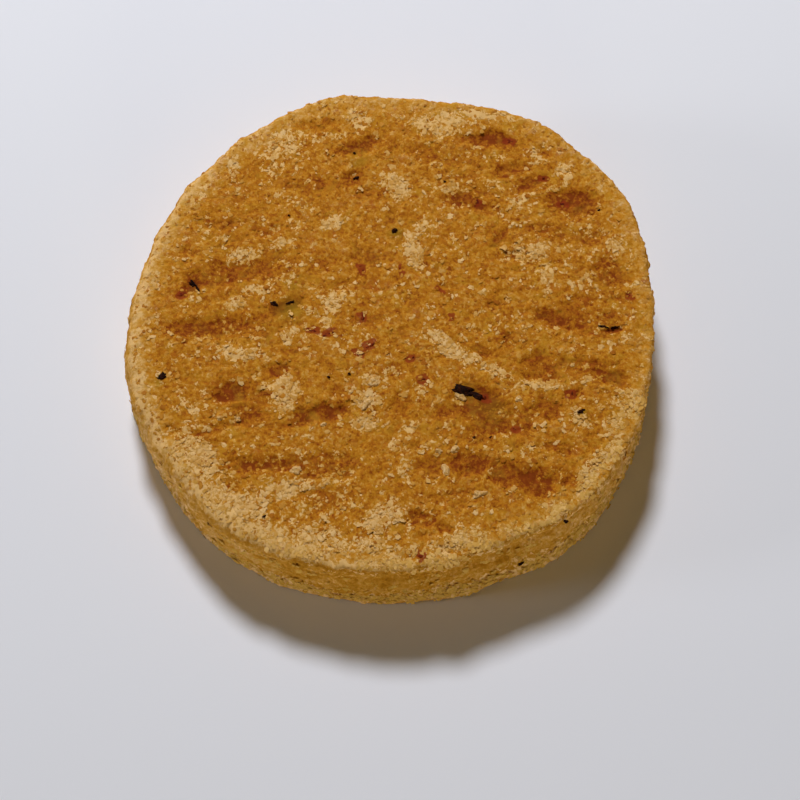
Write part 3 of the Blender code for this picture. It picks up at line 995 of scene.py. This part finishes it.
def makeBits(name, kind, material):
    points, faces = ballShape()
    inSide = kind.get("inSide", [])
    count = len(kind["bits"]) + len(inSide)
    # each bit reads the noise at a place of its own
    apart = 9.7 * np.repeat(np.arange(count), len(points))[:, None]
    uneven = layeredNoise(np.tile(points, (count, 1)) + apart, 0.9, kind["seed"])
    swelling = np.maximum(1 + kind["jagged"] * uneven.reshape(count, len(points)), 0.3)
    shapes = points * swelling[:, :, None]
    places = []
    for bit, shape in zip(kind["bits"], shapes):
        x, y, length, width, turn = bit
        turn = math.radians(turn)
        along = shape[:, 0] * kind["share"] * length / 2
        across = shape[:, 1] * kind["share"] * width / 2
        bitX = x + along * math.cos(turn) - across * math.sin(turn)
        bitY = y + along * math.sin(turn) + across * math.cos(turn)
        height = min(kind["height"], 0.8 * width)
        surface = topHeight(bitX, bitY, readTop(bitX, bitY)[0])
        places.append(np.stack([bitX, bitY, surface + kind["rise"] + shape[:, 2] * height / 2], axis=1))
    for bit, shape in zip(inSide, shapes[len(kind["bits"]):]):
        direction, height, length, width = bit
        directions = direction + np.degrees(shape[:, 0] * length / 2 / cookieForm["meanRadius"])
        heights = height + shape[:, 1] * width / 2
        reach = sideReach(directions, heights) + kind["rise"] + shape[:, 2] * kind["height"] / 2
        places.append(ringPoints(directions, reach, heights))
    rows = (faces[None] + len(points) * np.arange(len(places))[:, None, None]).reshape(-1, 3)
    mesh = fillMesh(name, toFrame(np.concatenate(places)), np.zeros((0, 4), int), rows)
    piece = addPiece(name, mesh, material)
    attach(piece, "root")
    print(name, "made:", len(places))


def bitFinish(name, look):
    finish = Finish(name)
    speckle = finish.step(finish.noise(0.35, 3.0, 0.65), 0.35, 0.7)
    return finish.finishWith({
        "Base Color": finish.blend(look["dark"], look["light"], speckle),
        "Roughness": look["roughness"],
        "Specular IOR Level": look["shine"],
        "Normal": finish.bump(speckle, 0.08),
    })


makeBits("darkFlecks", darkFlecks, bitFinish("charredSpeck", darkFlecks))
makeBits("redFlecks", redFlecks, bitFinish("redBrownSpeck", redFlecks))
makeBits("bigCrumbs", bigCrumbs, bitFinish("bigPaleCrumb", bigCrumbs))


# The stage: a plain pale floor, soft light and the camera

stage = {
    "floorSize": 1.6,
    "floorColour": colour(236, 235, 236),
    "floorRoughness": 0.7,
    "floorShine": 0.3,
    "ambient": (1.0, 0.7, 0.25),
    "ambientStrength": 0.07,
    "backdrop": colour(176, 176, 179),      # what a low view sees behind the floor
}

# Direction: degrees clockwise from straight behind, seen from above, and degrees up
lamps = {
    "keyLight": {
        "direction": (-12, 50.5), "distance": 0.72, "size": 0.15, "power": 5.05,
        "colour": (0.855, 0.9, 1.0),
    },
    "sideLight": {
        "direction": (-95, 14), "distance": 3.0, "size": 0.6, "power": 16,
        "colour": (0.855, 0.9, 1.0),
    },
    "rightLight": {
        "direction": (100, 8), "distance": 1.5, "size": 0.8, "power": 1.6,
        "colour": (1.0, 0.92, 0.8),
    },
    "frontLight": {
        "direction": (-188, 2.5), "distance": 1.5, "size": 0.5, "power": 7.6,
        "colour": (1.0, 0.95, 0.7),
    },
}


def makeFloor():
    mesh = bpy.data.meshes.new("floor")
    half = stage["floorSize"] / 2
    corners = [(-half, -half, 0), (half, -half, 0), (half, half, 0), (-half, half, 0)]
    mesh.from_pydata(corners, [], [(0, 1, 2, 3)])
    material = Finish("paleFloor").finishWith({
        "Base Color": stage["floorColour"],
        "Roughness": stage["floorRoughness"],
        "Specular IOR Level": stage["floorShine"],
    })
    floor = addPiece("floor", mesh, material)


def makeLamp(name, look):
    turn, rise = (math.radians(angle) for angle in look["direction"])
    way = Vector((math.sin(turn) * math.cos(rise), math.cos(turn) * math.cos(rise), math.sin(rise)))
    data = bpy.data.lights.new(name, "AREA")
    data.shape = "DISK"
    data.size = look["size"]
    data.energy = look["power"]
    data.color = look["colour"]
    lamp = bpy.data.objects.new(name, data)
    lamp.location = way * look["distance"]
    lamp.rotation_mode = "QUATERNION"
    lamp.rotation_quaternion = way.to_track_quat("Z", "Y")
    bpy.context.scene.collection.objects.link(lamp)


def makeAmbient():
    world = bpy.data.worlds.new("studio")
    world.use_nodes = True
    nodes = world.node_tree.nodes
    links = world.node_tree.links
    ambient = nodes["Background"]
    ambient.inputs["Color"].default_value = stage["ambient"] + (1.0,)
    ambient.inputs["Strength"].default_value = stage["ambientStrength"]
    backdrop = nodes.new("ShaderNodeBackground")
    backdrop.inputs["Color"].default_value = stage["backdrop"]
    seen = nodes.new("ShaderNodeLightPath")
    mixed = nodes.new("ShaderNodeMixShader")
    links.new(seen.outputs["Is Camera Ray"], mixed.inputs[0])
    links.new(ambient.outputs["Background"], mixed.inputs[1])
    links.new(backdrop.outputs["Background"], mixed.inputs[2])
    links.new(mixed.outputs["Shader"], nodes["World Output"].inputs["Surface"])
    bpy.context.scene.world = world


cameraView = {
    "elevation": 68,
    "distance": 219,         # from the target, in millimetres
    "fieldOfView": 25,
    "target": (1.1, -10.3, 11),
}


def makeCamera():
    view = cameraView
    rise = math.radians(view["elevation"])
    back = Vector((0, -math.cos(rise), math.sin(rise)))
    target = Vector(toFrame(np.array(view["target"])))
    data = bpy.data.cameras.new("camera")
    data.sensor_fit = "HORIZONTAL"
    data.angle = math.radians(view["fieldOfView"])
    data.clip_start = 0.01
    camera = bpy.data.objects.new("camera", data)
    camera.location = target + back * view["distance"] * mm
    camera.rotation_mode = "QUATERNION"
    camera.rotation_quaternion = back.to_track_quat("Z", "Y")
    bpy.context.scene.collection.objects.link(camera)
    bpy.context.scene.camera = camera


makeFloor()
for name, look in lamps.items():
    makeLamp(name, look)
makeAmbient()
makeCamera()
bpy.context.scene.view_settings.view_transform = "Standard"
print("stage and camera set")
